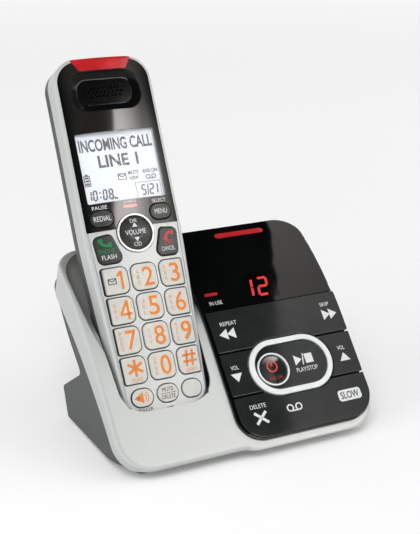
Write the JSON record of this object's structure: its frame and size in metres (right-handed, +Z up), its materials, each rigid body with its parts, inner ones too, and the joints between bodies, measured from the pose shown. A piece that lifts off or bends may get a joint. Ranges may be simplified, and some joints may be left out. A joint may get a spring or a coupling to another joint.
{
  "type": "cordless telephone with answering machine base",
  "caption": "Cordless telephone resting in a sloping charging base whose black control panel is an answering machine",
  "frame": {"origin": "middle of the bounding box on the table, under the rubber feet", "axes": "X to the right as one faces the keys, Y to the back, Z up"},
  "size_m": [0.138, 0.121, 0.1818],
  "materials": {
    "silver_plastic": "satin",
    "dark_plastic": "fine texture",
    "black_panel": "gloss",
    "handset_panel": "gloss",
    "black_button": "gloss",
    "counter_face": "gloss",
    "red_lens": "gloss",
    "white_ring": "gloss",
    "pale_key": "satin",
    "dark_key": "gloss",
    "clear_window": "polished",
    "lcd_face": "satin",
    "circuit_board": "satin",
    "speaker_frame": "satin",
    "contact_metal": "bright",
    "rubber_pad": "matt",
    "silicone_sheet": "matt",
    "screw_steel": "zinc plated",
    "socket_plastic": "satin",
    "cell_sleeve": "sleeved"
  },
  "bodies": {
    "base": {"answer_button_oval": "white_ring", "answer_button_ring": "white_ring", "base_bottom_housing": "dark_plastic", "base_circuit_board": "circuit_board", "base_screws": "screw_steel", "base_speaker": "speaker_frame", "base_top_housing": "silver_plastic", "charging_contacts": "contact_metal", "control_panel": "black_panel", "in_use_light": "red_lens", "line_jack": "socket_plastic", "message_display": "counter_face", "new_message_light": "red_lens", "power_jack": "socket_plastic", "rubber_feet": "rubber_pad"},
    "handset": {"battery_pack": "cell_sleeve", "charge_light": "red_lens", "display_window": "clear_window", "earpiece_speaker": "speaker_frame", "face_panel": "handset_panel", "handset_circuit_board": "circuit_board", "handset_contacts": "contact_metal", "handset_front_housing": "silver_plastic", "handset_rear_housing": "dark_plastic", "handset_screws": "screw_steel", "keypad_membrane": "silicone_sheet", "lcd_screen": "lcd_face", "microphone": "speaker_frame", "navigation_ring": "white_ring", "ringer_lens": "red_lens"},
    "key_1": {"key_1": "pale_key"},
    "key_2": {"key_2": "pale_key"},
    "key_3": {"key_3": "pale_key"},
    "key_4": {"key_4": "pale_key"},
    "key_5": {"key_5": "pale_key"},
    "key_6": {"key_6": "pale_key"},
    "key_7": {"key_7": "pale_key"},
    "key_8": {"key_8": "pale_key"},
    "key_9": {"key_9": "pale_key"},
    "key_star": {"key_star": "pale_key"},
    "key_0": {"key_0": "pale_key"},
    "key_hash": {"key_hash": "pale_key"},
    "speaker_key": {"speaker_key": "pale_key"},
    "mute_key": {"mute_key": "pale_key"},
    "boost_key": {"boost_key": "pale_key"},
    "redial_key": {"redial_key": "dark_key"},
    "menu_key": {"menu_key": "dark_key"},
    "phone_key": {"phone_key": "dark_key"},
    "off_key": {"off_key": "dark_key"},
    "volume_down_button": {"volume_down_button": "black_button"},
    "volume_up_button": {"volume_up_button": "black_button"},
    "play_stop_button": {"play_stop_button": "black_button"},
    "answer_on_button": {"answer_on_button": "black_button"},
    "repeat_skip_rocker": {"repeat_skip_rocker": "black_button"},
    "delete_slow_rocker": {"delete_slow_rocker": "black_button"},
    "navigation_key": {"navigation_key": "dark_key"},
    "battery_cover": {"battery_cover": "dark_plastic"}
  },
  "joints": [
    {"name": "handset_lift", "type": "slide", "parent": "base", "child": "handset", "axis": [0, 0.4571, 0.8894], "range_m": [0, 0.11]},
    {"name": "battery_cover_slide", "type": "slide", "parent": "handset", "child": "battery_cover", "axis": [0, -0.4571, -0.8894], "range_m": [0, 0.004]},
    {"name": "key_1_press", "type": "slide", "parent": "handset", "child": "key_1", "axis": [0, 0.8894, -0.4571], "range_m": [0, 0.0008], "stiffness_N_per_m": 300},
    {"name": "key_2_press", "type": "slide", "parent": "handset", "child": "key_2", "axis": [0, 0.8894, -0.4571], "range_m": [0, 0.0008], "stiffness_N_per_m": 300},
    {"name": "key_3_press", "type": "slide", "parent": "handset", "child": "key_3", "axis": [0, 0.8894, -0.4571], "range_m": [0, 0.0008], "stiffness_N_per_m": 300},
    {"name": "key_4_press", "type": "slide", "parent": "handset", "child": "key_4", "axis": [0, 0.8894, -0.4571], "range_m": [0, 0.0008], "stiffness_N_per_m": 300},
    {"name": "key_5_press", "type": "slide", "parent": "handset", "child": "key_5", "axis": [0, 0.8894, -0.4571], "range_m": [0, 0.0008], "stiffness_N_per_m": 300},
    {"name": "key_6_press", "type": "slide", "parent": "handset", "child": "key_6", "axis": [0, 0.8894, -0.4571], "range_m": [0, 0.0008], "stiffness_N_per_m": 300},
    {"name": "key_7_press", "type": "slide", "parent": "handset", "child": "key_7", "axis": [0, 0.8894, -0.4571], "range_m": [0, 0.0008], "stiffness_N_per_m": 300},
    {"name": "key_8_press", "type": "slide", "parent": "handset", "child": "key_8", "axis": [0, 0.8894, -0.4571], "range_m": [0, 0.0008], "stiffness_N_per_m": 300},
    {"name": "key_9_press", "type": "slide", "parent": "handset", "child": "key_9", "axis": [0, 0.8894, -0.4571], "range_m": [0, 0.0008], "stiffness_N_per_m": 300},
    {"name": "key_star_press", "type": "slide", "parent": "handset", "child": "key_star", "axis": [0, 0.8894, -0.4571], "range_m": [0, 0.0008], "stiffness_N_per_m": 300},
    {"name": "key_0_press", "type": "slide", "parent": "handset", "child": "key_0", "axis": [0, 0.8894, -0.4571], "range_m": [0, 0.0008], "stiffness_N_per_m": 300},
    {"name": "key_hash_press", "type": "slide", "parent": "handset", "child": "key_hash", "axis": [0, 0.8894, -0.4571], "range_m": [0, 0.0008], "stiffness_N_per_m": 300},
    {"name": "speaker_key_press", "type": "slide", "parent": "handset", "child": "speaker_key", "axis": [0, 0.8894, -0.4571], "range_m": [0, 0.0008], "stiffness_N_per_m": 300},
    {"name": "mute_key_press", "type": "slide", "parent": "handset", "child": "mute_key", "axis": [0, 0.8894, -0.4571], "range_m": [0, 0.0008], "stiffness_N_per_m": 300},
    {"name": "boost_key_press", "type": "slide", "parent": "handset", "child": "boost_key", "axis": [0, 0.8894, -0.4571], "range_m": [0, 0.0008], "stiffness_N_per_m": 300},
    {"name": "redial_key_press", "type": "slide", "parent": "handset", "child": "redial_key", "axis": [0, 0.8894, -0.4571], "range_m": [0, 0.0008], "stiffness_N_per_m": 300},
    {"name": "menu_key_press", "type": "slide", "parent": "handset", "child": "menu_key", "axis": [0, 0.8894, -0.4571], "range_m": [0, 0.0008], "stiffness_N_per_m": 300},
    {"name": "phone_key_press", "type": "slide", "parent": "handset", "child": "phone_key", "axis": [0, 0.8894, -0.4571], "range_m": [0, 0.0008], "stiffness_N_per_m": 300},
    {"name": "off_key_press", "type": "slide", "parent": "handset", "child": "off_key", "axis": [0, 0.8894, -0.4571], "range_m": [0, 0.0008], "stiffness_N_per_m": 300},
    {"name": "navigation_key_rock", "type": "hinge", "parent": "handset", "child": "navigation_key", "pos_m": [-0.037, 0.00101, 0.10231], "axis": [1, 0, 0], "range_deg": [-3, 3], "stiffness_Nm_per_rad": 0.02},
    {"name": "volume_down_button_press", "type": "slide", "parent": "base", "child": "volume_down_button", "axis": [0, 0.7385, -0.6743], "range_m": [0, 0.0008], "stiffness_N_per_m": 300},
    {"name": "volume_up_button_press", "type": "slide", "parent": "base", "child": "volume_up_button", "axis": [0, 0.7385, -0.6743], "range_m": [0, 0.0008], "stiffness_N_per_m": 300},
    {"name": "play_stop_button_press", "type": "slide", "parent": "base", "child": "play_stop_button", "axis": [0, 0.7385, -0.6743], "range_m": [0, 0.0008], "stiffness_N_per_m": 300},
    {"name": "answer_on_button_press", "type": "slide", "parent": "base", "child": "answer_on_button", "axis": [0, 0.7385, -0.6743], "range_m": [0, 0.0008], "stiffness_N_per_m": 300},
    {"name": "repeat_skip_rock", "type": "hinge", "parent": "base", "child": "repeat_skip_rocker", "pos_m": [0.0307, -0.0275, 0.0426], "axis": [0, 0.6743, 0.7385], "range_deg": [-1.2, 1.2], "stiffness_Nm_per_rad": 0.3},
    {"name": "delete_slow_rock", "type": "hinge", "parent": "base", "child": "delete_slow_rocker", "pos_m": [0.0307, -0.0275, 0.0426], "axis": [0, 0.6743, 0.7385], "range_deg": [-1.2, 1.2], "stiffness_Nm_per_rad": 0.3}
  ]
}
